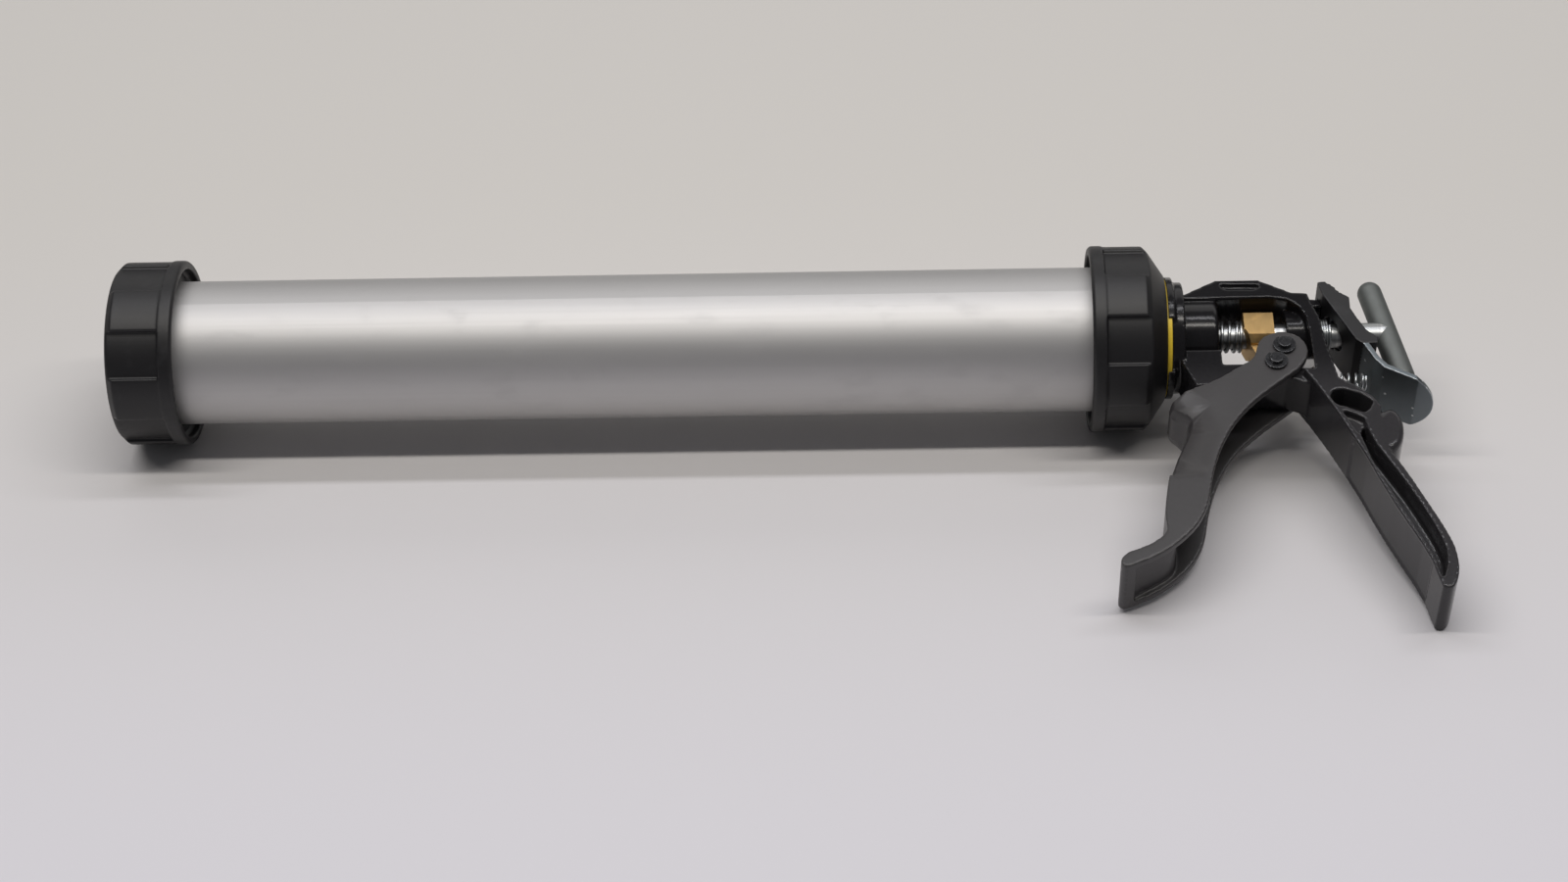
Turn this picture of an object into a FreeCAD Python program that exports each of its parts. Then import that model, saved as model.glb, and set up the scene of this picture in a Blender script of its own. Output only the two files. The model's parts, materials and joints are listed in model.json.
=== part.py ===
import FreeCAD, Part
import math
import os

# Caulking gun for foil packs: alloy barrel between two ribbed caps, cast handle, trigger,
# brass drive block, smooth plunger rod with a cross bar, and a thumb release at the back.
# Millimetres.  Everything is modelled in the gun's own frame and laid down at the end:
#   x = along the barrel, towards the handle end, 0 at the swivel face behind the rear cap
#   y = away from the grip
#   z = the gun's left side
# The finished gun lies on its right side on the floor (+Z up), resting on both caps and on
# the end of the grip, and the origin is the middle of its footprint on the floor.

# ---------------------------------------------------------------- barrel and caps
TUBE_OD = 53.0
TUBE_ID = 50.0
TUBE_FRONT = -379.0
TUBE_BACK = -12.0
CAP_R = 34.3                # full radius of the caps' collars
CAP_RIB_R = 33.9            # raised grip sectors
CAP_VALLEY_R = 32.3         # recessed grip sectors
CAP_SECTORS = 6
CAP_SECTOR_DEG = 30.0
CAP_FIRST_DEG = 88.0        # where the first raised sector starts
COLLAR_W = 5.0
CAP_MOUTH_R = 31.2          # open rim round the tube
THREAD_R = 29.9             # outside of the threaded rings
THREAD_GAP = 0.08
FRONT_CAP_FRONT = -386.8
FRONT_CAP_BACK = -361.8
FRONT_WALL = 4.0
NOZZLE_R = 19.0             # opening in the front cap
RING_W = 13.0               # length of the threaded rings
SEAT_GAP = 0.1              # from the barrel's end to the inside of the rear cap
REAR_CAP_FRONT = -28.8
REAR_CAP_RIM = -7.2
REAR_CAP_BACK = -1.2
REAR_CAP_HUB_R = 22.4

# ---------------------------------------------------------------- swivel
SPIGOT_R = 9.5
SPIGOT_FRONT = -13.0
SPIGOT_FIT = 0.05           # the rear cap turns on the spigot
WASHER_R = 21.7
FLANGE_R = 20.5
FLANGE_FRONT = 0.5
FLANGE_BACK = 5.4
LIP_R = 22.4                # lip round the washer
LIP_FRONT = -0.9
LIP_BACK = 1.8
LIP_WINDOW_DEG = (113.0, 165.0)

# ---------------------------------------------------------------- rod and plunger
ROD_R = 4.5
ROD_FIT = 0.06
ROD_FRONT = -371.0
BAR_X = 80.4
BAR_R = 4.5
BAR_HALF = 25.3
BAR_RAKE_DEG = 10.4
PISTON_R = 24.93
PISTON_FRONT = -366.0
PISTON_BACK = -346.0
NECK_R = 3.0                # turned end of the rod, inside the piston
CUP_BORE_R = 3.08

# ---------------------------------------------------------------- frame casting
BODY_HALF_W = 12.5
WEB_HALF_W = 9.0            # gusset and pivot lug between the trigger's cheeks
GRIP_WEB_HALF_W = 3.0       # web left between the grip's two side grooves
BOSS_R = 13.5
BOSS_BACK = 18.3
BOSS_ROUND = 2.0
REAR_BOSS_R = 8.6
REAR_BOSS_FRONT = 43.0
PIVOT = (37.3, -23.1)
PIN_R = 2.5
PIN_FIT = 0.05
PIN_HEAD_R = 3.9
PIN_NECK_R = 1.7            # bottom of the clip groove
CLIP_R = 4.1
LUG_R = 4.3

# ---------------------------------------------------------------- drive
DRIVE_PIN = (40.8, -15.6)
BLOCK_FRONT = 28.0
BLOCK_BACK = 38.8
BLOCK_HALF = 7.5
BLOCK_BEVEL = 2.4
TONGUE_HALF_W = 4.0
TONGUE_FOOT = -18.4

# ---------------------------------------------------------------- trigger
CHEEK_T = 3.0
CHEEK_OUT = 12.5

# ---------------------------------------------------------------- release lever
STRIP_T = 2.0
STRIP_HALF_W = 12.5
TAB_HALF_W = 10.2           # narrower top of the strip, held inside the thumb block
TAB_FOOT = -14.6
FULCRUM = (57.6, 11.0)
FULCRUM_R = 1.6

# ---------------------------------------------------------------- lie of the gun
LIE_DEG = 10.05             # roll that brings the grip down onto the floor

COIL_STEPS = 16             # points per turn along a spring's centre line

AXIS_X = FreeCAD.Vector(1, 0, 0)
AXIS_Z = FreeCAD.Vector(0, 0, 1)


def vec(x, y, z=0.0):
    return FreeCAD.Vector(x, y, z)


def rod_along(x0, x1, radius, y=0.0, z=0.0):
    """Cylinder along the barrel."""
    return Part.makeCylinder(radius, x1 - x0, vec(x0, y, z), AXIS_X)


def tube_along(x0, x1, outer, inner):
    return rod_along(x0, x1, outer).cut(rod_along(x0 - 1.0, x1 + 1.0, inner))


def turned(points):
    """Solid of revolution round the barrel axis from (x, radius) points."""
    pts = [vec(x, r) for x, r in points]
    wire = Part.makePolygon(pts + [pts[0]])
    return Part.Face(wire).revolve(vec(0, 0), AXIS_X, 360.0)


def prism(points, z0, z1):
    """Flat outline in the gun's side plane, extruded from z0 to z1."""
    pts = [vec(x, y, z0) for x, y in points]
    wire = Part.makePolygon(pts + [pts[0]])
    return Part.Face(wire).extrude(vec(0, 0, z1 - z0))


def smooth_prism(runs, z0, z1):
    """Like prism, but each run is ('L', points) for straight or ('S', points) for a curve."""
    edges = []
    for kind, points in runs:
        pts = [vec(x, y, z0) for x, y in points]
        if kind == "L":
            for a, b in zip(pts[:-1], pts[1:]):
                edges.append(Part.makeLine(a, b))
        else:
            curve = Part.BSplineCurve()
            curve.interpolate(pts)
            edges.append(curve.toShape())
    wire = Part.Wire(Part.__sortEdges__(edges))
    return Part.Face(wire).extrude(vec(0, 0, z1 - z0))


def cross_pin(centre, radius, z0, z1):
    return Part.makeCylinder(radius, z1 - z0, vec(centre[0], centre[1], z0), AXIS_Z)


def coil(x0, x1, mean_r, wire_r, turns, y=0.0):
    """Round-wire compression spring along the barrel; its axis is at height y."""
    pitch = (x1 - x0 - 2.0 * wire_r) / turns
    steps = int(turns * COIL_STEPS)
    centre_line = []
    for i in range(steps + 1):
        turn = i / COIL_STEPS
        a = 2.0 * math.pi * turn
        centre_line.append(vec(x0 + wire_r + pitch * turn, mean_r * math.sin(a), -mean_r * math.cos(a)))
    path = Part.BSplineCurve()
    path.interpolate(centre_line)
    lead = vec(pitch, 2.0 * math.pi * mean_r)
    profile = Part.Wire([Part.Circle(centre_line[0], lead, wire_r).toShape()])
    spring = Part.Wire(path.toShape()).makePipeShell([profile], True, True)
    spring.translate(vec(0, y))
    return spring


# ================================================================ caps and barrel

def grip_valleys(x0, x1):
    """The recessed sectors that leave the caps' grip ribs standing."""
    ring = tube_along(x0, x1, CAP_R + 2.0, CAP_VALLEY_R)
    valleys = []
    reach = CAP_R * 3.0
    for i in range(CAP_SECTORS):
        a0 = math.radians(CAP_FIRST_DEG + CAP_SECTOR_DEG * (2 * i + 1))
        a1 = a0 + math.radians(CAP_SECTOR_DEG)
        wedge = Part.Face(Part.makePolygon([
            vec(x0, 0, 0),
            vec(x0, reach * math.cos(a0), reach * math.sin(a0)),
            vec(x0, reach * math.cos(a1), reach * math.sin(a1)),
            vec(x0, 0, 0)])).extrude(vec(x1 - x0, 0, 0))
        valleys.append(ring.common(wedge))
    return valleys


def front_cap():
    f = FRONT_CAP_FRONT
    b = FRONT_CAP_BACK
    outer = turned([
        (f, 0.0), (f, CAP_RIB_R - 2.6), (f + 2.6, CAP_RIB_R), (b - COLLAR_W, CAP_RIB_R),
        (b - COLLAR_W, CAP_R), (b - 1.0, CAP_R), (b, CAP_R - 1.0), (b, 0.0)])
    thread = THREAD_R + THREAD_GAP
    inner = turned([
        (f - 1.0, 0.0), (f - 1.0, NOZZLE_R), (f + FRONT_WALL, NOZZLE_R),
        (f + FRONT_WALL, thread), (b - 4.0, thread),
        (b - 3.0, CAP_MOUTH_R), (b + 1.0, CAP_MOUTH_R), (b + 1.0, 0.0)])
    cap = outer.cut(inner)
    for valley in grip_valleys(f - 1.0, b - COLLAR_W):
        cap = cap.cut(valley)
    return cap


def rear_cap():
    f = REAR_CAP_FRONT
    r = REAR_CAP_RIM
    outer = turned([
        (f, 0.0), (f, CAP_R - 1.0), (f + 1.0, CAP_R), (f + COLLAR_W, CAP_R),
        (f + COLLAR_W, CAP_RIB_R), (r - 2.0, CAP_RIB_R), (r, CAP_RIB_R - 2.0),
        (REAR_CAP_BACK, REAR_CAP_HUB_R + 0.6), (REAR_CAP_BACK, 0.0)])
    thread = THREAD_R + THREAD_GAP
    inner = turned([
        (f - 1.0, 0.0), (f - 1.0, CAP_MOUTH_R), (f + 3.0, CAP_MOUTH_R), (f + 4.0, thread),
        (TUBE_BACK, thread), (TUBE_BACK, 0.0)])
    cap = outer.cut(inner)
    for valley in grip_valleys(f + COLLAR_W, REAR_CAP_BACK + 1.0):
        cap = cap.cut(valley)
    bore = rod_along(TUBE_BACK - 1.0, REAR_CAP_BACK + 1.0, SPIGOT_R + SPIGOT_FIT)
    pocket = rod_along(TUBE_BACK - 1.0, -6.0, 15.6)
    return cap.cut(bore).cut(pocket)


def barrel_tube():
    return tube_along(TUBE_FRONT, TUBE_BACK - SEAT_GAP, TUBE_OD / 2.0, TUBE_ID / 2.0)


def thread_ring(x0, x1):
    """Threaded ring pressed on the end of the barrel, with a shallow thread relief."""
    ring = tube_along(x0, x1, THREAD_R, TUBE_OD / 2.0)
    for i in range(3):
        start = x0 + 2.2 + i * 4.0
        groove = tube_along(start, start + 1.4, THREAD_R + 1.0, THREAD_R - 0.9)
        ring = ring.cut(groove)
    return ring


def front_seal():
    """Loose flat ring that seats the nozzle against the front wall of the cap."""
    front = FRONT_CAP_FRONT + FRONT_WALL + 0.05
    return tube_along(front, TUBE_FRONT - 0.2, THREAD_R - 0.6, NOZZLE_R + 1.0)


# ================================================================ swivel

def swivel_washer():
    return tube_along(REAR_CAP_BACK + 0.05, FLANGE_FRONT - 0.05, WASHER_R, SPIGOT_R + 0.3)


def swivel_plate():
    """Steel washer that keeps the rear cap on the frame's spigot."""
    return tube_along(-7.9, -6.1, 15.0, SPIGOT_R + 0.1)


def swivel_clip():
    ring = tube_along(-9.3, -8.0, 12.4, SPIGOT_R - 1.0)
    gap = Part.makeBox(3.0, 14.0, 6.0, vec(-10.0, 1.0, -3.0))
    return ring.cut(gap)


# ================================================================ plunger

def plunger_rod():
    rod = rod_along(ROD_FRONT, BAR_X, ROD_R)
    shoulder = rod_along(PISTON_BACK + 2.0, PISTON_BACK + 5.0, 6.0)
    neck = tube_along(ROD_FRONT - 1.0, PISTON_BACK + 2.0, ROD_R + 2.0, NECK_R)
    seat = cross_bar_stock()
    return rod.fuse(shoulder).cut(neck).cut(seat)


def cross_bar_stock():
    half = BAR_HALF - BAR_R
    bar = Part.makeCylinder(BAR_R, 2.0 * half, vec(0, -half, 0), vec(0, 1, 0))
    for side in (-1.0, 1.0):
        bar = bar.fuse(Part.makeSphere(BAR_R, vec(0, side * half, 0)))
    bar = bar.removeSplitter()
    bar.rotate(vec(0, 0), AXIS_Z, BAR_RAKE_DEG)
    bar.translate(vec(BAR_X, 0, 0))
    return bar


def piston_cup():
    cup = turned([
        (PISTON_FRONT, CUP_BORE_R), (PISTON_FRONT, 19.0), (PISTON_FRONT + 4.0, PISTON_R - 0.6),
        (PISTON_FRONT + 5.0, PISTON_R), (PISTON_BACK - 1.0, PISTON_R),
        (PISTON_BACK, PISTON_R - 1.0), (PISTON_BACK, 22.0), (PISTON_FRONT + 8.0, 20.0),
        (PISTON_FRONT + 6.0, 11.0), (PISTON_BACK, 9.0), (PISTON_BACK, CUP_BORE_R)])
    return cup


def piston_washer(x0, x1, radius):
    return tube_along(x0, x1, radius, NECK_R)


def piston_nut():
    corners = []
    for i in range(6):
        a = math.radians(60.0 * i)
        corners.append(vec(ROD_FRONT, 5.8 * math.cos(a), 5.8 * math.sin(a)))
    hexagon = Part.Face(Part.makePolygon(corners + [corners[0]]))
    nut = hexagon.extrude(vec(3.4, 0, 0))
    return nut.cut(rod_along(ROD_FRONT - 1.0, ROD_FRONT + 5.0, NECK_R))


# ================================================================ frame casting

BRIDGE = [
    (5.0, 9.6), (18.1, 17.0), (34.3, 16.9), (45.7, 10.6), (51.5, 10.2), (52.4, 5.9),
    (54.8, -1.5), (56.0, -13.4), (59.0, -31.0), (51.0, -31.0), (50.6, -8.0), (49.9, -1.4),
    (47.8, 3.7), (44.0, 7.1), (37.3, 8.4), (15.0, 8.0), (5.0, 8.0)]

GRIP_FRONT = [(46.8, -26.5), (50.3, -33.0), (55.9, -45.0), (61.2, -58.0), (65.0, -67.8),
              (68.0, -77.0), (71.6, -87.0), (75.6, -97.0), (79.6, -106.5), (82.4, -114.6),
              (83.6, -121.0)]
GRIP_BACK = [(84.6, -125.4), (87.5, -125.8), (90.0, -122.0), (91.1, -116.5), (90.8, -108.5),
             (88.6, -101.0), (84.8, -91.1), (79.4, -77.6), (74.0, -65.8)]
GRIP_SHOULDER = [(74.0, -65.8), (72.2, -60.0), (71.6, -54.0), (72.0, -48.5), (72.6, -44.5),
                 (70.5, -40.6), (64.5, -34.6), (59.0, -31.0)]
HORN_CENTRE = (74.6, -55.0)
HORN_LONG = 9.6
HORN_SHORT = 5.0
HORN_LEAN_DEG = 83.0
HORN_ROUND = 2.4

GRIP_GROOVE = [
    (63.9, -57.0), (66.8, -69.2), (69.9, -78.1), (73.5, -87.2), (77.4, -97.0), (81.2, -106.8),
    (83.9, -115.0), (84.6, -121.2), (85.5, -121.2), (87.3, -115.9), (87.6, -109.6),
    (86.3, -103.2), (84.3, -97.0), (81.3, -89.2), (77.7, -80.4), (73.0, -70.6), (69.0, -62.4),
    (67.2, -56.6), (66.0, -51.2)]
TOP_POCKET = [
    (55.0, -39.6), (56.4, -36.8), (60.0, -36.4), (66.0, -38.8), (70.0, -42.4), (68.6, -45.4),
    (66.4, -47.6), (63.7, -46.6), (60.5, -44.8), (58.2, -44.2), (56.2, -42.6)]
RIB_SHADE = [                # shallow hollow under the rib that closes the top pocket
    (58.6, -46.6), (60.4, -47.0), (64.2, -49.0), (66.2, -50.4), (66.0, -54.0), (63.4, -57.2),
    (62.0, -54.4), (60.4, -50.6)]
RIB_SHADE_DEPTH = 3.0
PANEL_DEPTH = 0.6            # the grip's front face is sunk between two raised rims
PANEL_HALF_W = 11.2


def frame_web():
    """Gusset, beam and pivot lug that run between the trigger's cheeks."""
    outline = [
        (4.0, -13.7), (18.5, -13.7), (18.5, -20.9), (33.3, -20.9), (33.3, -23.1),
        (52.0, -23.1), (52.0, -31.0), (49.0, -31.0), (41.0, -27.5), (33.0, -27.5),
        (20.0, -30.2), (8.4, -31.0), (4.0, -20.0)]
    web = prism(outline, -WEB_HALF_W, WEB_HALF_W)
    lug = cross_pin(PIVOT, LUG_R, -WEB_HALF_W, WEB_HALF_W)
    return web.fuse(lug)


def frame_grip():
    outline = [("L", GRIP_FRONT), ("L", [GRIP_FRONT[-1], GRIP_BACK[0]]), ("S", GRIP_BACK[:5]),
               ("S", GRIP_BACK[4:]), ("L", GRIP_SHOULDER),
               ("L", [GRIP_SHOULDER[-1], (51.0, -26.5), GRIP_FRONT[0]])]
    grip = smooth_prism(outline, -BODY_HALF_W, BODY_HALF_W)
    for side in (-1.0, 1.0):
        outside = (BODY_HALF_W + 1.0) * side
        for hollow in (GRIP_GROOVE, TOP_POCKET):
            grip = grip.cut(prism(hollow, GRIP_WEB_HALF_W * side, outside))
        grip = grip.cut(prism(RIB_SHADE, (BODY_HALF_W - RIB_SHADE_DEPTH) * side, outside))
    face = GRIP_FRONT[3:10]
    sunk = [(x + PANEL_DEPTH, y) for x, y in face]
    proud = [(x - 2.0, y) for x, y in face[::-1]]
    return grip.cut(prism(sunk + proud, -PANEL_HALF_W, PANEL_HALF_W))


def grip_horn():
    """Rounded horn at the back of the grip that sits over the web of the thumb."""
    centre = vec(HORN_CENTRE[0], HORN_CENTRE[1], -BODY_HALF_W)
    oval = Part.Ellipse(centre, HORN_LONG, HORN_SHORT).toShape()
    oval.rotate(centre, AXIS_Z, HORN_LEAN_DEG)
    horn = Part.Face(Part.Wire(oval)).extrude(vec(0, 0, 2.0 * BODY_HALF_W))
    rims = [e for e in horn.Edges if e.BoundBox.ZLength < 0.1]
    return horn.makeFillet(HORN_ROUND, rims)


def washer_lip():
    """Thin lip of the flange that hides the swivel washer, open at the left front."""
    lip = tube_along(LIP_FRONT, LIP_BACK, LIP_R, WASHER_R + 0.1)
    lip = lip.fuse(tube_along(FLANGE_FRONT, LIP_BACK, LIP_R, FLANGE_R - 1.0))
    window = [vec(LIP_FRONT - 1.0, 0, 0)]
    for step in range(5):
        a = math.radians(LIP_WINDOW_DEG[0] + (LIP_WINDOW_DEG[1] - LIP_WINDOW_DEG[0]) * step / 4.0)
        window.append(vec(LIP_FRONT - 1.0, 30.0 * math.cos(a), 30.0 * math.sin(a)))
    wedge = Part.Face(Part.makePolygon(window + [window[0]])).extrude(vec(6.0, 0, 0))
    return lip.cut(wedge)


def frame_casting():
    body = rod_along(FLANGE_FRONT, FLANGE_BACK, FLANGE_R).fuse(washer_lip())
    body = body.fuse(rod_along(SPIGOT_FRONT, FLANGE_BACK, SPIGOT_R))
    boss = rod_along(4.0, BOSS_BACK, BOSS_R)
    back_edge = [e for e in boss.Edges if e.BoundBox.XMin > BOSS_BACK - 0.5]
    body = body.fuse(boss.makeFillet(BOSS_ROUND, back_edge))
    bridge = prism(BRIDGE, -BODY_HALF_W, BODY_HALF_W)
    for side in (-1.0, 1.0):
        panel = [(19.0, 15.0), (35.5, 14.6), (31.6, 12.2), (22.4, 12.4)]
        bridge = bridge.cut(prism(panel, (BODY_HALF_W - 1.4) * side, (BODY_HALF_W + 1.0) * side))
    body = body.fuse(bridge)
    body = body.fuse(rod_along(REAR_BOSS_FRONT, 52.0, REAR_BOSS_R))
    body = body.fuse(frame_web())
    body = body.fuse(frame_grip().fuse(grip_horn()))
    lug = prism([(50.0, 13.2), (50.0, 8.8), (FULCRUM[0], 9.4), (FULCRUM[0], 12.6)], -6.0, 6.0)
    body = body.fuse(lug).fuse(cross_pin(FULCRUM, FULCRUM_R, -6.0, 6.0))
    body = body.cut(rod_along(SPIGOT_FRONT - 1.0, 60.0, ROD_R + ROD_FIT))
    body = body.cut(cross_pin(PIVOT, PIN_R + PIN_FIT, -20.0, 20.0))
    groove = tube_along(-9.35, -7.95, SPIGOT_R + 1.0, SPIGOT_R - 1.0)
    return body.cut(groove)


# ================================================================ drive

def drive_block():
    """Brass block on the rod; its tongue hangs down in front of the drive pin."""
    h = BLOCK_HALF
    c = BLOCK_HALF - BLOCK_BEVEL
    corners = [(h, c), (c, h), (-c, h), (-h, c), (-h, -c), (-c, -h), (c, -h), (h, -c)]
    section = [vec(BLOCK_FRONT, y, z) for y, z in corners]
    block = Part.Face(Part.makePolygon(section + [section[0]])).extrude(
        vec(BLOCK_BACK - BLOCK_FRONT, 0, 0))
    face = DRIVE_PIN[0] - PIN_R - 0.1
    tongue = prism([(29.0, -4.0), (33.4, TONGUE_FOOT), (face, TONGUE_FOOT), (face, -4.0)],
                   -TONGUE_HALF_W, TONGUE_HALF_W)
    rake = prism([(27.0, -1.5), (28.0, -1.5), (34.6, -20.0), (27.0, -20.0)], -10.0, 10.0)
    block = block.fuse(tongue).cut(rake)
    return block.cut(rod_along(20.0, 45.0, ROD_R + ROD_FIT)).removeSplitter()


# ================================================================ trigger

TRIGGER_FRONT = [(-21.6, -115.6), (-23.6, -113.0), (-22.6, -110.6), (-16.5, -107.2),
                 (-10.4, -103.6), (-7.2, -99.8), (-7.0, -94.0), (-6.3, -85.4),
                 (-4.5, -75.4), (-1.4, -66.0), (1.2, -59.6), (3.6, -53.6), (4.2, -48.8)]
TRIGGER_NOSE = [(4.2, -48.8), (1.2, -45.6), (-1.8, -42.4), (-1.4, -38.8), (2.2, -36.4), (7.2, -34.9)]
TRIGGER_TOP = [(7.2, -34.9), (17.5, -29.6), (25.1, -24.2), (29.4, -20.6), (31.0, -15.8),
               (34.0, -10.8)]
TRIGGER_HEAD = [(34.0, -10.8), (37.2, -9.2), (41.2, -8.7), (45.6, -10.4), (48.5, -14.2),
                (49.1, -18.6), (47.4, -23.2), (44.4, -27.0)]
TRIGGER_BACK = [(44.4, -27.0), (37.0, -33.2), (31.6, -38.0), (23.6, -46.6), (17.2, -56.8),
                (13.0, -67.0), (10.2, -77.6), (8.4, -86.6), (4.4, -96.0), (-2.1, -103.8),
                (-10.6, -110.4), (-17.0, -113.6), (-21.6, -115.6)]


def trigger():
    runs = [("S", TRIGGER_FRONT), ("S", TRIGGER_NOSE), ("S", TRIGGER_TOP),
            ("S", TRIGGER_HEAD), ("S", TRIGGER_BACK)]
    body = smooth_prism(runs, -CHEEK_OUT, CHEEK_OUT)
    inside = CHEEK_OUT - CHEEK_T
    channel = smooth_prism([
        ("S", [(-19.0, -112.6), (-10.0, -107.0), (-3.8, -101.0), (-2.8, -94.0),
               (-2.0, -84.0), (0.6, -72.0), (4.6, -61.0), (7.2, -54.0), (7.8, -48.0),
               (5.2, -43.0), (6.2, -38.6)]),
        ("L", [(6.2, -38.6), (6.2, -20.0), (20.0, 0.0), (60.0, 0.0), (60.0, -40.0),
               (10.0, -118.0), (-12.0, -122.0), (-19.0, -112.6)])],
        -inside, inside)
    body = body.cut(channel)
    for centre in (PIVOT, DRIVE_PIN):
        body = body.cut(cross_pin(centre, PIN_R, -20.0, 20.0))
    return body


def headed_pin(centre):
    """Turned pin: flat head on the right cheek, clip groove beyond the left cheek."""
    pin = cross_pin(centre, PIN_R, -CHEEK_OUT, CHEEK_OUT + 2.6)
    head = cross_pin(centre, PIN_HEAD_R, -CHEEK_OUT - 1.6, -CHEEK_OUT)
    groove = cross_pin(centre, PIN_R + 1.0, CHEEK_OUT + 0.1, CHEEK_OUT + 1.2).cut(
        cross_pin(centre, PIN_NECK_R, CHEEK_OUT, CHEEK_OUT + 1.3))
    return pin.fuse(head).cut(groove)


def pin_clip(centre):
    z0 = CHEEK_OUT + 0.12
    z1 = CHEEK_OUT + 1.15
    ring = cross_pin(centre, CLIP_R, z0, z1).cut(cross_pin(centre, PIN_NECK_R, z0 - 1, z1 + 1))
    mouth = Part.makeBox(3.2, 6.0, 3.0, vec(centre[0] - 1.6, centre[1], z0 - 1.0))
    return ring.cut(mouth)


# ================================================================ release lever

STRIP_PATH = [(58.8, 9.0), (72.6, -22.4), (75.6, -26.6), (87.0, -33.2), (93.5, -35.0)]
THUMB = [(57.1, 9.0), (55.6, 15.4), (58.5, 15.8), (61.2, 13.6), (63.4, 10.2), (66.6, 7.8),
         (66.4, 2.6), (68.4, -2.5), (71.3, -8.6), (75.1, -11.9), (74.4, -14.8), (69.3, -15.1),
         (66.9, -12.9)]


def offset_path(points, t):
    """Second side of a strip of thickness t, mitred at the bends."""
    out = []
    for i, (x, y) in enumerate(points):
        prev = points[max(i - 1, 0)]
        nxt = points[min(i + 1, len(points) - 1)]
        a = math.atan2(y - prev[1], x - prev[0]) if i else math.atan2(nxt[1] - y, nxt[0] - x)
        b = math.atan2(nxt[1] - y, nxt[0] - x) if i < len(points) - 1 else a
        mid = (a + b) / 2.0
        s = t / math.cos((a - b) / 2.0)
        out.append((x - s * math.sin(mid), y + s * math.cos(mid)))
    return out


def release_strip():
    back = offset_path(STRIP_PATH, STRIP_T)
    strip = prism(STRIP_PATH + back[::-1], -STRIP_HALF_W, STRIP_HALF_W)
    tip = STRIP_PATH[-1][0]
    round_r = 14.7
    keep = Part.makeCylinder(round_r, 80.0, vec(tip - round_r, -60.0, 0), vec(0, 1, 0))
    keep = keep.fuse(Part.makeBox(60.0, 80.0, 30.0, vec(tip - 67.0, -60.0, -15.0)))
    strip = strip.common(keep)
    for side in (-1.0, 1.0):
        waste = [(50.0, TAB_FOOT), (80.0, TAB_FOOT), (80.0, 20.0), (50.0, 20.0)]
        strip = strip.cut(prism(waste, TAB_HALF_W * side, (STRIP_HALF_W + 1.0) * side))
    return strip.cut(rod_along(50.0, 80.0, ROD_R + 1.1))


def thumb_block():
    block = prism(THUMB, -STRIP_HALF_W, STRIP_HALF_W)
    block = block.cut(cross_pin(FULCRUM, FULCRUM_R + 0.1, -6.2, 6.2))
    block = block.cut(prism([(50.0, 13.6), (50.0, 8.4), (57.9, 9.0), (57.9, 13.0)], -6.2, 6.2))
    seat = rod_along(50.0, 62.0, 6.8)
    back = offset_path(STRIP_PATH, STRIP_T)
    slot = prism(STRIP_PATH[:2] + back[:2][::-1], -TAB_HALF_W, TAB_HALF_W)
    below = [(50.0, TAB_FOOT), (80.0, TAB_FOOT), (80.0, -30.0), (50.0, -30.0)]
    foot = prism(STRIP_PATH[:2] + back[:2][::-1], -STRIP_HALF_W - 1, STRIP_HALF_W + 1)
    slot = slot.fuse(foot.common(prism(below, -STRIP_HALF_W - 1, STRIP_HALF_W + 1)))
    block = block.cut(slot).cut(seat)
    return block.cut(rod_along(50.0, 80.0, ROD_R + 1.1))


def springs():
    drive = coil(BOSS_BACK, BLOCK_FRONT, 5.4, 0.6, 3.0)
    catch = coil(55.1, 59.9, 5.5, 0.5, 3.0)
    lever = coil(57.6, 71.0, 2.9, 0.5, 5.0, -22.6)
    return drive, catch, lever


# ================================================================ assembly

def build():
    drive_spring, catch_spring, lever_spring = springs()
    clips = Part.makeCompound([pin_clip(PIVOT), pin_clip(DRIVE_PIN)])
    parts = {
        "frame_casting": frame_casting(),
        "swivel_washer": swivel_washer(),
        "swivel_plate": swivel_plate(),
        "swivel_clip": swivel_clip(),
        "rear_cap": rear_cap(),
        "rear_thread_ring": thread_ring(TUBE_BACK - SEAT_GAP - RING_W, TUBE_BACK - SEAT_GAP),
        "barrel_tube": barrel_tube(),
        "front_thread_ring": thread_ring(TUBE_FRONT, TUBE_FRONT + RING_W),
        "front_cap": front_cap(),
        "front_seal": front_seal(),
        "plunger_rod": plunger_rod(),
        "cross_bar": cross_bar_stock(),
        "piston_cup": piston_cup(),
        "piston_front_washer": piston_washer(ROD_FRONT + 3.4, PISTON_FRONT - 0.05, 12.0),
        "piston_back_washer": piston_washer(PISTON_BACK + 0.05, PISTON_BACK + 2.0, 11.0),
        "piston_nut": piston_nut(),
        "drive_block": drive_block(),
        "drive_spring": drive_spring,
        "trigger": trigger(),
        "pivot_pin": headed_pin(PIVOT),
        "drive_pin": headed_pin(DRIVE_PIN),
        "pin_clips": clips,
        "release_strip": release_strip(),
        "thumb_block": thumb_block(),
        "catch_spring": catch_spring,
        "lever_spring": lever_spring,
    }
    return parts


def lay_down(parts):
    """Roll the gun onto its right side and set the footprint's middle at the origin."""
    boxes = FreeCAD.BoundBox()
    for shape in parts.values():
        shape.rotate(vec(0, 0), AXIS_X, LIE_DEG)
        boxes.add(shape.optimalBoundingBox(False))
    shift = vec(-boxes.Center.x, -boxes.Center.y, -boxes.ZMin)
    for shape in parts.values():
        shape.translate(shift)
    return shift


PARTS = build()
SHIFT = lay_down(PARTS)
os.makedirs("parts", exist_ok=True)
for name, shape in PARTS.items():
    shape.exportStep("parts/" + name + ".step")
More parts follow.
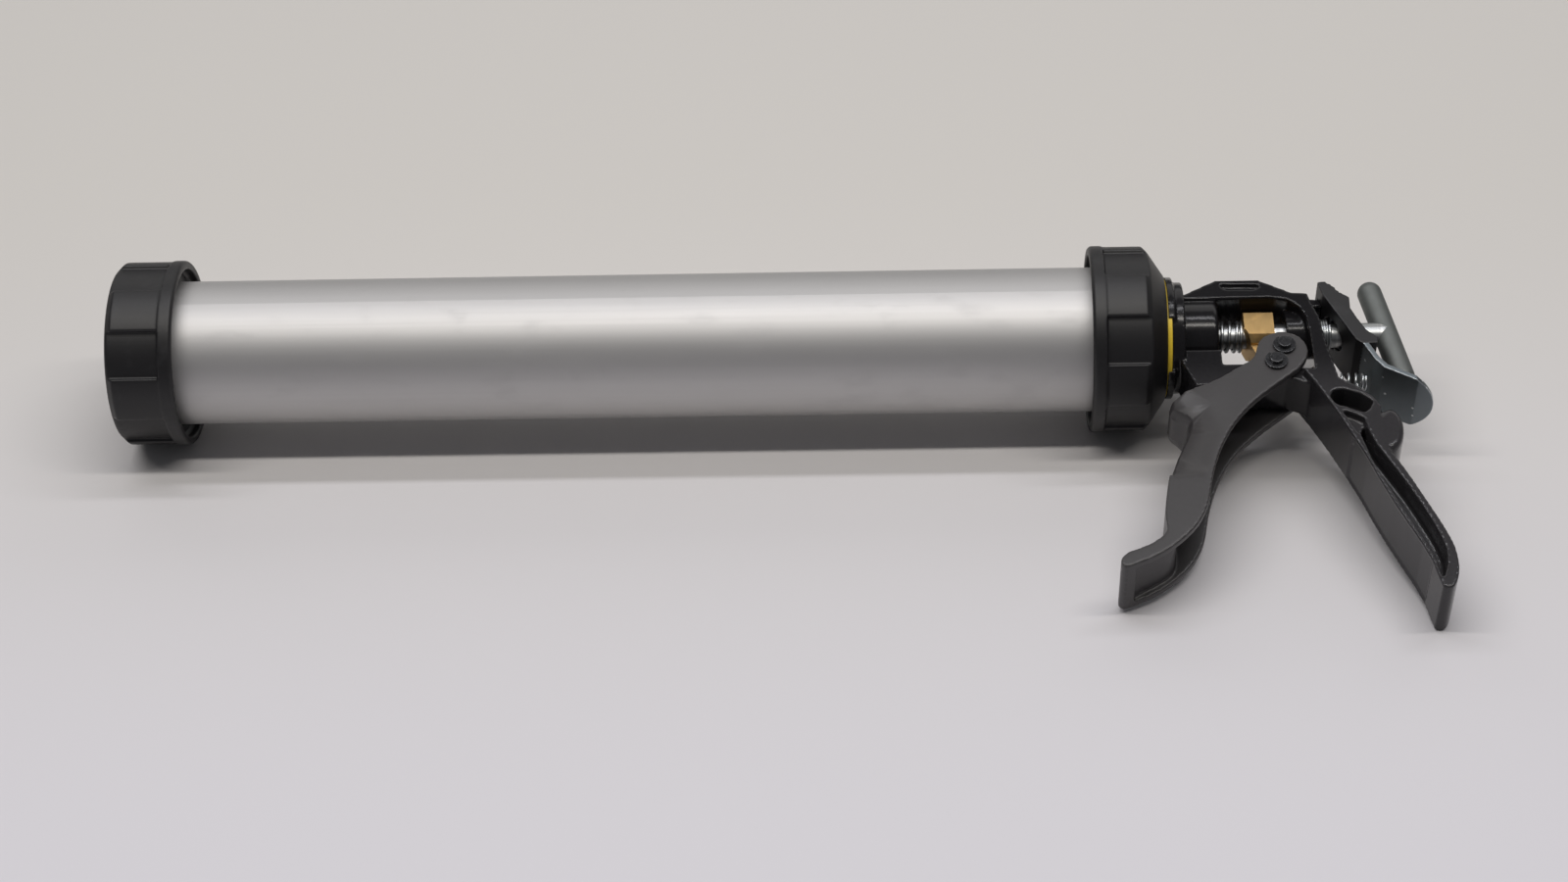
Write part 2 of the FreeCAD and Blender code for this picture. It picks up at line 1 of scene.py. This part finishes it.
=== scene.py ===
import json
import math
import bmesh
import bpy
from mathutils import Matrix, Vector

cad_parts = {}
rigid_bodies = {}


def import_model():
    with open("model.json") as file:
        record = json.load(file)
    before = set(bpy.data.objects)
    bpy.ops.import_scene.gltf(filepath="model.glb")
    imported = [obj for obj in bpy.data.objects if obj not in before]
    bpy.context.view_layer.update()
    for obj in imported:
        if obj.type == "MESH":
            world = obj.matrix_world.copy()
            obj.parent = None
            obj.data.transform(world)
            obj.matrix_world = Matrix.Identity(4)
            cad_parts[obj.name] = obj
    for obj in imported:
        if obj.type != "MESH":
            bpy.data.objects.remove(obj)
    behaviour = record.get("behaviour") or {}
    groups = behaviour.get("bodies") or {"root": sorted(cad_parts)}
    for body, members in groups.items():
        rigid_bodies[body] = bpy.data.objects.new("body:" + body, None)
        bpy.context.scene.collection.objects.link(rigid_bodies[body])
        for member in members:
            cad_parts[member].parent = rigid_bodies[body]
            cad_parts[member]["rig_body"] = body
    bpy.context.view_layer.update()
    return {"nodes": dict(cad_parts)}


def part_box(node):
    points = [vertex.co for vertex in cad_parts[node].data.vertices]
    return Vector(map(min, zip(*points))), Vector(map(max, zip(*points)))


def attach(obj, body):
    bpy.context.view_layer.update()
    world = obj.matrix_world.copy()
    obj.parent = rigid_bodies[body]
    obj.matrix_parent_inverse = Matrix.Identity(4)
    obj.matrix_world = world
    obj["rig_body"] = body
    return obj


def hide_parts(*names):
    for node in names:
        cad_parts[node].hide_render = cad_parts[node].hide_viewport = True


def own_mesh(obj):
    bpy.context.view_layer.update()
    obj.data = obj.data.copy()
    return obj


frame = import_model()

# ---------------------------------------------------------------- barrel
# Drawn aluminium tube, 53 mm outside, with a satin anodised skin.  Drawing leaves
# faint lines along its length and a slightly uneven sheen; it is pressed into the
# threaded rings at both ends.


class Mark:
    """A value that varies over a finish.  Sums and products of marks add Math nodes."""

    def __init__(self, tree, socket):
        self.tree = tree
        self.socket = socket

    def node(self, kind, settings, sockets, out=0):
        made = self.tree.nodes.new("ShaderNode" + kind)
        for key, value in settings.items():
            setattr(made, key, value)
        for key, value in sockets.items():
            if isinstance(value, Mark):
                self.tree.links.new(value.socket, made.inputs[key])
            else:
                made.inputs[key].default_value = value
        return Mark(self.tree, made.outputs[out])

    def sum_of(self, operation, a, b):
        return self.node("Math", {"operation": operation}, {0: a, 1: b})

    def __add__(self, other):
        return self.sum_of("ADD", self, other)

    def __radd__(self, other):
        return self.sum_of("ADD", other, self)

    def __sub__(self, other):
        return self.sum_of("SUBTRACT", self, other)

    def __rsub__(self, other):
        return self.sum_of("SUBTRACT", other, self)

    def __mul__(self, other):
        return self.sum_of("MULTIPLY", self, other)

    def __rmul__(self, other):
        return self.sum_of("MULTIPLY", other, self)

    def stretched(self, x, y, z):
        """The same place, scaled apart along each axis, for grain that runs one way."""
        return self.node("VectorMath", {"operation": "MULTIPLY"}, {0: self, 1: (x, y, z)})

    def noise(self, scale, detail=3.0, roughness=0.55):
        return self.node("TexNoise", {}, {"Vector": self, "Scale": scale, "Detail": detail,
                                          "Roughness": roughness})

    def band(self, low, high):
        """0 below low, 1 above high."""
        return self.node("MapRange", {"interpolation_type": "SMOOTHSTEP"},
                         {"Value": self, "From Min": low, "From Max": high})

    def blend(self, first, second):
        """Colour first where the mark is 0 and second where it is 1."""
        a = first if isinstance(first, Mark) else (*first, 1.0)
        b = second if isinstance(second, Mark) else (*second, 1.0)
        return self.node("Mix", {"data_type": "RGBA"}, {0: self, 6: a, 7: b}, out=2)

    def relief(self, height, strength=1.0):
        """Bump of that height in metres."""
        return self.node("Bump", {}, {"Height": self, "Distance": height, "Strength": strength})


class Finish:
    """One material: constant sockets by name, and marks fed to the sockets that vary."""

    def __init__(self, name, **constants):
        self.material = bpy.data.materials.new(name)
        self.material.use_nodes = True
        tree = self.material.node_tree
        self.shader = tree.nodes["Principled BSDF"]
        for key, value in constants.items():
            self.shader.inputs[key.replace("_", " ")].default_value = value
        self.place = Mark(tree, tree.nodes.new("ShaderNodeTexCoord").outputs["Object"])

    def feed(self, **marks):
        for key, mark in marks.items():
            mark.tree.links.new(mark.socket, self.shader.inputs[key.replace("_", " ")])

    def edges(self, low, high):
        """1 on outward edges, 0 on flats."""
        return self.place.node("NewGeometry", {}, {}, out="Pointiness").band(low, high)

    def onto(self, *objects):
        for o in objects:
            o.data.materials.clear()
            o.data.materials.append(self.material)


tube = frame["nodes"]["barrel_tube"]
satin = Finish("satin_anodised_tube", Metallic=1.0)
lines = satin.place.stretched(6.0, 900.0, 900.0).noise(1.0, 4.0)
cloud = satin.place.stretched(1.0, 3.0, 3.0).noise(14.0, 3.0)
smear = satin.place.stretched(1.0, 2.0, 2.0).noise(60.0, 5.0).band(0.52, 0.72)
skin = cloud.blend((0.57, 0.562, 0.558), (0.53, 0.522, 0.52))
satin.feed(Base_Color=(smear * 0.2).blend(skin, (0.50, 0.492, 0.495)),
           Roughness=0.53 + lines * 0.08 + smear * 0.04,
           Normal=lines.relief(0.00001, 0.25))
satin.onto(tube)

# ---------------------------------------------------------------- screw caps
# Two black moulded caps with six raised grip sectors and a plain collar, screwed on
# the rings at the barrel's ends.  The moulding has soft edges and a fine spark-eroded
# texture; handling has polished the ribs a little.


def softened(node, grain, passes, keep_share=0.35, reshape=None):
    """The same solid with every edge rounded, as a mould or a casting leaves it."""
    source = frame["nodes"][node]
    mesh = bmesh.new()
    mesh.from_mesh(source.data)
    bmesh.ops.remove_doubles(mesh, verts=mesh.verts, dist=0.00001)
    data = bpy.data.meshes.new(node + "_soft")
    mesh.to_mesh(data)
    mesh.free()
    piece = bpy.data.objects.new(node + "_soft", data)
    bpy.context.scene.collection.objects.link(piece)
    remesh = piece.modifiers.new("cells", "REMESH")
    remesh.mode = "VOXEL"
    remesh.voxel_size = grain
    smooth = piece.modifiers.new("soften", "SMOOTH")
    smooth.factor = 0.5
    smooth.iterations = passes
    thin = piece.modifiers.new("thin", "DECIMATE")
    thin.ratio = keep_share
    graph = bpy.context.evaluated_depsgraph_get()
    final = bpy.data.meshes.new_from_object(piece.evaluated_get(graph))
    piece.modifiers.clear()
    piece.data = final
    if reshape:
        for vertex in final.vertices:
            vertex.co = reshape(vertex.co)
    for face in final.polygons:
        face.use_smooth = True
    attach(piece, source["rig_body"])
    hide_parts(node)
    return piece


moulded = Finish("moulded_black", IOR=1.5)
pebble = moulded.place.noise(2600.0, 2.0)
dust = moulded.place.noise(120.0, 6.0).band(0.55, 0.80)
rubbed = moulded.edges(0.51, 0.56)
moulded.feed(Base_Color=(dust * 0.4 + rubbed * 0.25).blend((0.0065, 0.006, 0.007),
                                                          (0.034, 0.033, 0.036)),
             Roughness=0.40 + pebble * 0.12 - rubbed * 0.10,
             Normal=pebble.relief(0.00003, 0.5))
for node in ("front_cap", "rear_cap"):
    cap = softened(node, 0.00045, 5)
    moulded.onto(cap)

# ---------------------------------------------------------------- end rings and seal
# Black threaded rings pressed on the barrel's ends, and the flat rubber ring that the
# nozzle's collar is pinched against.  Both are hidden once the caps are on.
ring_black = Finish("ring_plastic")
grit = ring_black.place.noise(900.0, 3.0)
ring_black.feed(Base_Color=grit.blend((0.012, 0.012, 0.013), (0.030, 0.030, 0.032)),
                Roughness=0.45 + grit * 0.15, Normal=grit.relief(0.00003, 0.4))
ring_black.onto(frame["nodes"]["front_thread_ring"], frame["nodes"]["rear_thread_ring"])
seal_rubber = Finish("seal_rubber")
chalk = seal_rubber.place.noise(300.0, 5.0)
seal_rubber.feed(Base_Color=chalk.blend((0.014, 0.014, 0.014), (0.050, 0.049, 0.047)),
                 Roughness=0.75 + chalk * 0.15, Normal=chalk.relief(0.00004, 0.5))
seal_rubber.onto(frame["nodes"]["front_seal"])

# ---------------------------------------------------------------- swivel
# The rear cap turns on the frame's hollow spigot: a yellow plastic washer outside, and
# a zinc plated plate with a snap ring inside the barrel.
yellow = Finish("yellow_washer")
flow = yellow.place.noise(220.0, 4.0)
yellow.feed(Base_Color=flow.blend((0.86, 0.62, 0.04), (0.74, 0.50, 0.03)),
            Roughness=0.38 + flow * 0.2, Normal=flow.relief(0.00003, 0.3))
yellow.onto(frame["nodes"]["swivel_washer"])

# ---------------------------------------------------------------- zinc plated steel
# Pressed and turned steel with a bright, slightly blue zinc plate that has dulled in
# patches: the swivel plate and the piston's washers and nut.
zinc = Finish("bright_zinc", Metallic=1.0)
patch = zinc.place.noise(180.0, 5.0)
rolled = zinc.place.stretched(1.0, 1.0, 0.1).noise(1800.0, 2.0)
dull = patch.band(0.45, 0.75)
zinc.feed(Base_Color=dull.blend((0.66, 0.69, 0.70), (0.50, 0.53, 0.54)),
          Roughness=0.24 + dull * 0.16 + rolled * 0.05,
          Normal=rolled.relief(0.00001, 0.35))
for node in ("swivel_plate", "piston_front_washer", "piston_back_washer", "piston_nut"):
    zinc.onto(frame["nodes"][node])

# ---------------------------------------------------------------- plunger rod
# Smooth 9 mm drawn rod, bright zinc plated, that runs through the frame.  The drive
# block has left fine bright bands round it.
rod_steel = Finish("drawn_rod", Metallic=1.0)
bands = rod_steel.place.stretched(1.0, 0.02, 0.02).noise(900.0, 2.0).band(0.50, 0.62)
drag = rod_steel.place.stretched(20.0, 1600.0, 1600.0).noise(1.0, 3.0)
rod_steel.feed(Base_Color=bands.blend((0.42, 0.43, 0.43), (0.54, 0.54, 0.53)),
               Roughness=0.30 + drag * 0.14 - bands * 0.04,
               Normal=drag.relief(0.00001, 0.3))
rod_steel.onto(frame["nodes"]["plunger_rod"])

# ---------------------------------------------------------------- cross bar
# Round-ended steel bar, across the rod's back end, in a duller grey zinc.
bar_steel = Finish("grey_zinc", Metallic=1.0)
bloom = bar_steel.place.noise(260.0, 6.0)
bar_steel.feed(Base_Color=bloom.blend((0.20, 0.21, 0.205), (0.16, 0.17, 0.165)),
               Roughness=0.52 + bloom * 0.15, Normal=bloom.relief(0.00003, 0.35))
bar_steel.onto(frame["nodes"]["cross_bar"])

# ---------------------------------------------------------------- piston
# Moulded cup of natural plastic that pushes the foil pack along the barrel, clamped on
# the rod's neck between two washers and a nut.
natural = Finish("natural_plastic", Subsurface_Weight=0.05)
streak = natural.place.noise(160.0, 4.0)
natural.feed(Base_Color=streak.blend((0.74, 0.73, 0.68), (0.64, 0.63, 0.58)),
             Roughness=0.42 + streak * 0.15, Normal=streak.relief(0.00004, 0.3))
natural.onto(frame["nodes"]["piston_cup"])

# ---------------------------------------------------------------- frame casting
# One aluminium die casting: flange, boss, bridge, pivot lug and the I-section grip with
# its rounded horn.  Gloss black paint flows over every edge and thins out on them, and
# the edges are also painted paler as a painted highlight.
gloss = Finish("gloss_black_paint", Specular_IOR_Level=0.32)
peel = gloss.place.noise(700.0, 2.0)
sand = gloss.place.noise(2600.0, 3.0)
# Paler colour on the edges: partly paint that wears thin there, partly a painted highlight.
worn_edge_and_glint = gloss.edges(0.535, 0.60)
# Painted light and shade: the casting is painted greyer towards the grip, below 4 mm in Y, and near
# black towards the bridge and boss, above 28 mm in Y.
away = gloss.place.node("SeparateXYZ", {}, {0: gloss.place}, out=1)
grip_painted_lighter = 1 - away.band(0.004, 0.028)
paint = grip_painted_lighter.blend(peel.blend((0.007, 0.0065, 0.0075), (0.012, 0.0115, 0.013)),
                     peel.blend((0.030, 0.0285, 0.031), (0.040, 0.038, 0.041)))
gloss.feed(Base_Color=(worn_edge_and_glint * 0.5).blend(paint, (0.11, 0.108, 0.108)),
           Roughness=0.15 + sand * 0.08 + worn_edge_and_glint * 0.06,
           Normal=(peel * 0.7 + sand * 0.3).relief(0.00006, 0.35))
casting = softened("frame_casting", 0.00045, 6)
gloss.onto(casting)

# ---------------------------------------------------------------- trigger
# Cast channel with two cheeks, open at the back, swept forward at its lower end.  The
# same paint as the frame, a little greyer, and paler on its edges: partly where fingers
# wear it, partly a painted highlight.
axis_low, axis_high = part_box("barrel_tube")
axis_y = (axis_low.y + axis_high.y) / 2
axis_z = (axis_low.z + axis_high.z) / 2
TUBE_TO_SWIVEL = 0.0121
SWIVEL_X = axis_high.x + TUBE_TO_SWIVEL
LIE = math.radians(10.05)
# Along the trigger: the distance from the rod, the foremost line of the nose, and the
# line where its rounding meets the flat cheek.
NOSE = ((-0.0750, -0.0044, -0.0020), (-0.0650, -0.0010, 0.0026), (-0.0596, 0.0012, 0.0052),
        (-0.0536, 0.0036, 0.0078), (-0.0488, 0.0042, 0.0094), (-0.0456, 0.0012, 0.0088),
        (-0.0424, -0.0018, 0.0070), (-0.0388, -0.0014, 0.0050), (-0.0364, 0.0022, 0.0046),
        (-0.0349, 0.0072, 0.0074))
NOSE_NARROWING = 0.55


def gun_point(x, y, z):
    """A place given along the barrel, away from the grip and to the left, in metres."""
    return Vector((x, axis_y + y * math.cos(LIE) - z * math.sin(LIE),
                   axis_z + y * math.sin(LIE) + z * math.cos(LIE)))


def gun_axes(co):
    """How far a place lies behind the swivel, away from the grip and to the left."""
    y, z = co.y - axis_y, co.z - axis_z
    away = y * math.cos(LIE) + z * math.sin(LIE)
    left = z * math.cos(LIE) - y * math.sin(LIE)
    return co.x - SWIVEL_X, away, left


def nose_rims(v):
    """Where the nose is foremost, and where its rounding meets the flat cheek."""
    for (v0, *rims0), (v1, *rims1) in zip(NOSE[:-1], NOSE[1:]):
        if v0 <= v <= v1:
            share = (v - v0) / (v1 - v0)
            return [a + (b - a) * share for a, b in zip(rims0, rims1)]
    return None


def round_nose(co):
    """Draws the trigger's sides in towards the front of its nose, like a thumb's end."""
    u, v, w = gun_axes(co)
    rims = nose_rims(v)
    if rims is None or u > rims[1]:
        return co
    short = min(1.0, (rims[1] - u) / (rims[1] - rims[0]))
    drawn = w * (1 - NOSE_NARROWING * (1 - math.sqrt(1 - short * short)))
    return gun_point(co.x, v, drawn)


satin_black = Finish("satin_black_paint", Coat_Weight=0.12, Coat_Roughness=0.15)
orange = satin_black.place.noise(600.0, 2.0)
fine = satin_black.place.noise(2400.0, 3.0)
# Paler colour on the edges: partly where fingers wear the paint, partly a painted highlight.
handled_edge_and_glint = satin_black.edges(0.53, 0.59)
lever_paint = orange.blend((0.034, 0.0315, 0.0325), (0.042, 0.039, 0.0405))
satin_black.feed(Base_Color=(handled_edge_and_glint * 0.7).blend(lever_paint, (0.16, 0.155, 0.155)),
                 Roughness=0.36 + fine * 0.12,
                 Normal=(orange * 0.6 + fine * 0.4).relief(0.00005, 0.35))
lever = softened("trigger", 0.00045, 6, reshape=round_nose)
satin_black.onto(lever)

# ---------------------------------------------------------------- pins and clips
# Two turned pins through the trigger's cheeks, each held by an open spring clip.  The
# steel is oil blackened, and its edges are painted pale as a painted highlight.
blackened = Finish("blackened_steel", Metallic=0.75)
oil = blackened.place.noise(900.0, 4.0)
# Painted highlight: pale colour on the edges.
pin_edge_glint = blackened.edges(0.53, 0.60)
oiled = oil.blend((0.030, 0.030, 0.033), (0.085, 0.086, 0.090))
blackened.feed(Base_Color=pin_edge_glint.blend(oiled, (0.50, 0.51, 0.52)),
               Roughness=0.18 + oil * 0.16, Normal=oil.relief(0.00002, 0.3))
blackened.onto(frame["nodes"]["swivel_clip"])
for node, grain in (("pivot_pin", 0.0002), ("drive_pin", 0.0002), ("pin_clips", 0.00014)):
    turned = softened(node, grain, 3, keep_share=0.5)
    blackened.onto(turned)

# ---------------------------------------------------------------- drive block
# Machined brass block on the rod, with a tongue that the trigger's upper pin pushes.
# Saw and mill marks run across it.
brass = Finish("machined_brass", Metallic=1.0)
mill = brass.place.stretched(1.0, 0.15, 0.15).noise(3200.0, 2.0)
tarnish = brass.place.noise(260.0, 5.0).band(0.48, 0.72)
brass.feed(Base_Color=(tarnish * 0.5).blend((0.74, 0.49, 0.21), (0.56, 0.34, 0.13)),
           Roughness=0.30 + tarnish * 0.10 + mill * 0.06,
           Normal=mill.relief(0.00002, 0.4))
brass.onto(frame["nodes"]["drive_block"])

# ---------------------------------------------------------------- springs
# Round steel wire, bright zinc plated, with closed end coils: the drive spring that
# pushes the block back, the catch spring behind the frame and the small lever spring.
def wire_spring(node, wire, free_turns, below=0.0):
    low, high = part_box(node)
    mean = (high.z - low.z) / 2 - wire
    start = low.x + wire
    length = high.x - low.x - 2 * wire
    dead = 2 * wire * 1.02
    curve = bpy.data.curves.new(node + "_wire", "CURVE")
    curve.dimensions = "3D"
    curve.bevel_depth = wire
    curve.bevel_resolution = 4
    curve.use_fill_caps = True
    steps = 28
    turns = free_turns + 2
    path = []
    for i in range(int(turns * steps) + 1):
        turn = i / steps
        rise = (length - 2 * dead) / free_turns
        if turn <= 1:
            along = dead * turn
        elif turn <= 1 + free_turns:
            along = dead + rise * (turn - 1)
        else:
            along = length - dead + dead * (turn - 1 - free_turns)
        a = 2 * math.pi * turn
        path.append(gun_point(start + along, below + mean * math.sin(a), mean * math.cos(a)))
    spline = curve.splines.new("POLY")
    spline.points.add(len(path) - 1)
    for point, place in zip(spline.points, path):
        point.co = (*place, 1.0)
    holder = bpy.data.objects.new(node + "_curve", curve)
    bpy.context.scene.collection.objects.link(holder)
    graph = bpy.context.evaluated_depsgraph_get()
    data = bpy.data.meshes.new_from_object(holder.evaluated_get(graph))
    bpy.data.objects.remove(holder)
    piece = bpy.data.objects.new(node + "_wire", data)
    bpy.context.scene.collection.objects.link(piece)
    for face in data.polygons:
        face.use_smooth = True
    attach(piece, "frame")
    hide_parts(node)
    return piece


wire_zinc = Finish("spring_zinc", Metallic=1.0)
draw = wire_zinc.place.noise(1400.0, 3.0)
wire_zinc.feed(Base_Color=draw.blend((0.62, 0.64, 0.65), (0.48, 0.50, 0.51)),
               Roughness=0.24 + draw * 0.16, Normal=draw.relief(0.00001, 0.3))
drive_spring = wire_spring("drive_spring", 0.0006, 2.2)
catch_spring = wire_spring("catch_spring", 0.0005, 2.0)
lever_spring = wire_spring("lever_spring", 0.0005, 4.0, -0.0226)
wire_zinc.onto(drive_spring, catch_spring, lever_spring)
for spring, node, joint, share in ((drive_spring, "drive_spring", "trigger_pull", 0.53),
                                   (catch_spring, "catch_spring", "release_press", 0.75),
                                   (lever_spring, "lever_spring", "release_press", 0.75)):
    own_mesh(spring)

# ---------------------------------------------------------------- release lever
# Bent zinc plated strip with a rounded paddle, and the black moulded thumb block
# pressed on its upper end, with grip grooves across its back.
# Painted shade: the strip's zinc gets a much darker colour than the bright zinc parts, for the
# shade on its underside.
pressed = Finish("zinc_with_painted_shade", Metallic=1.0)
haze = pressed.place.noise(60.0, 3.0)
# Painted highlight: pale colour along the strip's edges.
strip_edge_glint = pressed.edges(0.52, 0.58)
plate = haze.blend((0.16, 0.185, 0.20), (0.24, 0.265, 0.28))
pressed.feed(Base_Color=strip_edge_glint.blend(plate, (0.74, 0.76, 0.77)),
             Roughness=0.34 + haze * 0.10, Normal=haze.relief(0.00002, 0.2))
strip = softened("release_strip", 0.00028, 2, keep_share=0.6)
pressed.onto(strip)

GROOVE_TOP = (0.0585, 0.0158)
GROOVE_FOOT = (0.0634, 0.0102)
GROOVE_PITCH = 0.0022
GROOVE_DEPTH = 0.0004
GROOVED_SKIN = 0.0009


def grooved(co):
    """Presses cross grooves into the thumb block's sloping back."""
    u, v, w = gun_axes(co)
    slope = Vector((GROOVE_FOOT[0] - GROOVE_TOP[0], GROOVE_FOOT[1] - GROOVE_TOP[1]))
    reach = slope.length
    slope.normalize()
    off = Vector((u - GROOVE_TOP[0], v - GROOVE_TOP[1]))
    along = off.dot(slope)
    out = off.x * -slope.y + off.y * slope.x
    if not 0 < along < reach or out < -GROOVED_SKIN:
        return co
    sink = GROOVE_DEPTH * (0.5 - 0.5 * math.cos(2 * math.pi * along / GROOVE_PITCH))
    return gun_point(co.x + slope.y * sink, v - slope.x * sink, w)


thumb = softened("thumb_block", 0.00030, 2, keep_share=0.6, reshape=grooved)
moulded.onto(thumb)

# ---------------------------------------------------------------- floor, light and camera
# Pale paper on a bench, two long soft lights on the ceiling, a pale wall behind and a
# dim room.
sheet = bmesh.new()
bmesh.ops.create_grid(sheet, x_segments=60, y_segments=60, size=4.0)
floor_mesh = bpy.data.meshes.new("paper_floor")
sheet.to_mesh(floor_mesh)
sheet.free()
floor = bpy.data.objects.new("paper_floor", floor_mesh)
bpy.context.scene.collection.objects.link(floor)
paper = Finish("pale_paper")
fibre = paper.place.noise(900.0, 4.0)
tone = paper.place.noise(2.2, 2.0)
# Painted shade: the paper is painted darker and browner from the front of the view towards the
# back, as the light falls off away from the lamps.
depth = paper.place.node("SeparateXYZ", {}, {0: paper.place}, out=1).band(-0.25, 0.22)
near_tone = tone.blend((0.72, 0.705, 0.76), (0.70, 0.69, 0.74))
paper.feed(Base_Color=depth.blend(near_tone, (0.62, 0.60, 0.575)),
           Roughness=0.75 + fibre * 0.1, Normal=fibre.relief(0.00005, 0.2))
paper.onto(floor)

room = bpy.data.worlds.new("room")
bpy.context.scene.world = room
room.use_nodes = True
backdrop = room.node_tree.nodes["Background"]
backdrop.inputs["Color"].default_value = (0.93, 0.95, 1.0, 1.0)
backdrop.inputs["Strength"].default_value = 0.11


def soft_box(name, place, aim, width, depth_size, watts, colour):
    lamp = bpy.data.lights.new(name, "AREA")
    lamp.shape = "RECTANGLE"
    lamp.size = width
    lamp.size_y = depth_size
    lamp.energy = watts
    lamp.color = colour
    holder = bpy.data.objects.new(name, lamp)
    holder.location = place
    holder.rotation_euler = (Vector(aim) - Vector(place)).to_track_quat("-Z", "Y").to_euler()
    bpy.context.scene.collection.objects.link(holder)


soft_box("ceiling_front", (0.0, -0.24, 1.5), (0.0, -0.24, 0.0), 2.4, 0.10, 15.2, (1.0, 0.965, 0.91))
soft_box("ceiling_back", (0.0, 0.36, 1.5), (0.0, 0.36, 0.0), 2.4, 0.10, 9.5, (0.96, 0.96, 1.0))
soft_box("pale_wall", (0.0, 1.15, 0.78), (0.0, 0.0, 0.03), 2.8, 0.8, 5.0, (1.0, 0.98, 0.95))

eye = bpy.data.cameras.new("eye")
eye.sensor_width = 36.0
eye.lens = 72.0
camera = bpy.data.objects.new("eye", eye)
camera.location = (0.0457459, -0.8658919, 0.7512777)
camera.rotation_euler = (math.radians(50.0529), math.radians(1.8975), math.radians(1.0197))
bpy.context.scene.collection.objects.link(camera)
bpy.context.scene.camera = camera
bpy.context.scene.view_settings.view_transform = "Standard"
